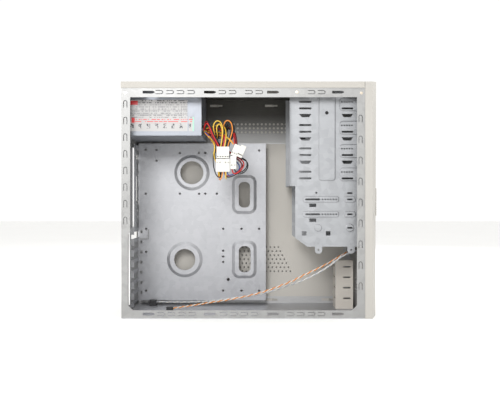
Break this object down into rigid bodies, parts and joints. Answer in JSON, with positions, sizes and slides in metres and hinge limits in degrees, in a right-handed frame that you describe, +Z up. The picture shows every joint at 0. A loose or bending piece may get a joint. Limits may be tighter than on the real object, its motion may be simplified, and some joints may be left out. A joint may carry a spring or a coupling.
{
  "type": "desktop computer tower",
  "caption": "Mid-tower desktop computer case, open on one side, with steel chassis, removable covers, drive cages, motherboard tray, power supply and moulded front panel.",
  "frame": {"origin": "bottom centre of the chassis, on its underside, midway between its side frames", "axes": "+Z up, the front bezel faces -Y, the open left side faces -X"},
  "size_m": [0.229, 0.468, 0.423],
  "materials": {
    "beige_plastic": "fine grain",
    "beige_paint": "fine texture",
    "galvanised": "spangled zinc",
    "supply_steel": "satin zinc",
    "label": "printed",
    "black_plastic": "satin",
    "red_plastic": "satin",
    "voltage_knob": "satin",
    "wire_chrome": "bright",
    "screw_brass": "passivated",
    "ivory_plastic": "satin",
    "board": "laminate",
    "component": "satin",
    "button_plastic": "satin",
    "lamp": "clear",
    "badge_metal": "satin",
    "wire": "insulation"
  },
  "bodies": {
    "chassis": {"bottom_pan": "galvanised", "card_guide": "ivory_plastic", "chassis_screws": "screw_brass", "disk_lead": "wire", "disk_lead_plug": "black_plastic", "fan_frame": "black_plastic", "fan_grille": "wire_chrome", "front_panel": "galvanised", "harness_bundle": "wire", "harness_grommet": "black_plastic", "harness_plugs": "ivory_plastic", "io_shield": "galvanised", "large_drive_cage": "galvanised", "lead_socket": "black_plastic", "motherboard_tray": "galvanised", "power_inlet": "black_plastic", "power_lead": "wire", "power_lead_plug": "black_plastic", "rear_panel": "galvanised", "selector_housing": "red_plastic", "side_frame_left": "galvanised", "side_frame_right": "galvanised", "slot_covers": "galvanised", "small_drive_cage": "galvanised", "supply_base": "supply_steel", "supply_board": "board", "supply_components": "component", "supply_heatsinks": "supply_steel", "supply_labels": "label", "supply_lid": "supply_steel", "supply_screws": "screw_brass", "switch_housing": "black_plastic", "top_frame": "galvanised", "tray_clip": "galvanised", "tray_rear_plate": "galvanised"},
    "top_cover": {"top_cover": "beige_paint", "top_cover_screws": "screw_brass"},
    "right_cover": {"right_cover": "beige_paint", "right_thumb_screws": "screw_brass"},
    "left_cover": {"left_cover": "beige_paint", "left_thumb_screws": "screw_brass"},
    "front_bezel": {"front_bezel": "beige_plastic", "large_bay_cover_1": "beige_plastic", "large_bay_cover_2": "beige_plastic", "large_bay_cover_3": "beige_plastic", "large_bay_cover_4": "beige_plastic", "small_bay_cover_1": "beige_plastic", "small_bay_cover_2": "beige_plastic", "switch_board": "board", "front_lamps": "lamp", "badge": "badge_metal"},
    "power_button": {"power_button": "button_plastic"},
    "reset_button": {"reset_button": "button_plastic"},
    "fan_rotor": {"fan_rotor": "black_plastic"},
    "rocker_switch": {"rocker_switch": "black_plastic"},
    "voltage_selector": {"voltage_selector": "voltage_knob"}
  },
  "joints": [
    {"name": "top_cover_slide", "type": "slide", "parent": "chassis", "child": "top_cover", "axis": [0, 1, 0], "range_m": [0, 0.02]},
    {"name": "right_cover_slide", "type": "slide", "parent": "chassis", "child": "right_cover", "axis": [0, 1, 0], "range_m": [0, 0.014]},
    {"name": "left_cover_carry", "type": "slide", "parent": "chassis", "child": "left_cover", "axis": [1, 0, 0], "range_m": [0, 0.2]},
    {"name": "bezel_pull", "type": "slide", "parent": "chassis", "child": "front_bezel", "axis": [0, -1, 0], "range_m": [0, 0.03]},
    {"name": "power_press", "type": "slide", "parent": "front_bezel", "child": "power_button", "axis": [0, 1, 0], "range_m": [0, 0.0025], "stiffness_N_per_m": 600, "springref_m": -0.002},
    {"name": "reset_press", "type": "slide", "parent": "front_bezel", "child": "reset_button", "axis": [0, 1, 0], "range_m": [0, 0.002], "stiffness_N_per_m": 600, "springref_m": -0.002},
    {"name": "fan_spin", "type": "hinge", "parent": "chassis", "child": "fan_rotor", "pos_m": [-0.0159, 0.215, 0.372], "axis": [0, 1, 0], "continuous": true},
    {"name": "mains_rocker", "type": "hinge", "parent": "chassis", "child": "rocker_switch", "pos_m": [0.0498, 0.2256, 0.3904], "axis": [0, 0, 1], "range_deg": [-9, 9]},
    {"name": "voltage_slide", "type": "slide", "parent": "chassis", "child": "voltage_selector", "axis": [1, 0, 0], "range_m": [0, 0.0052]}
  ]
}
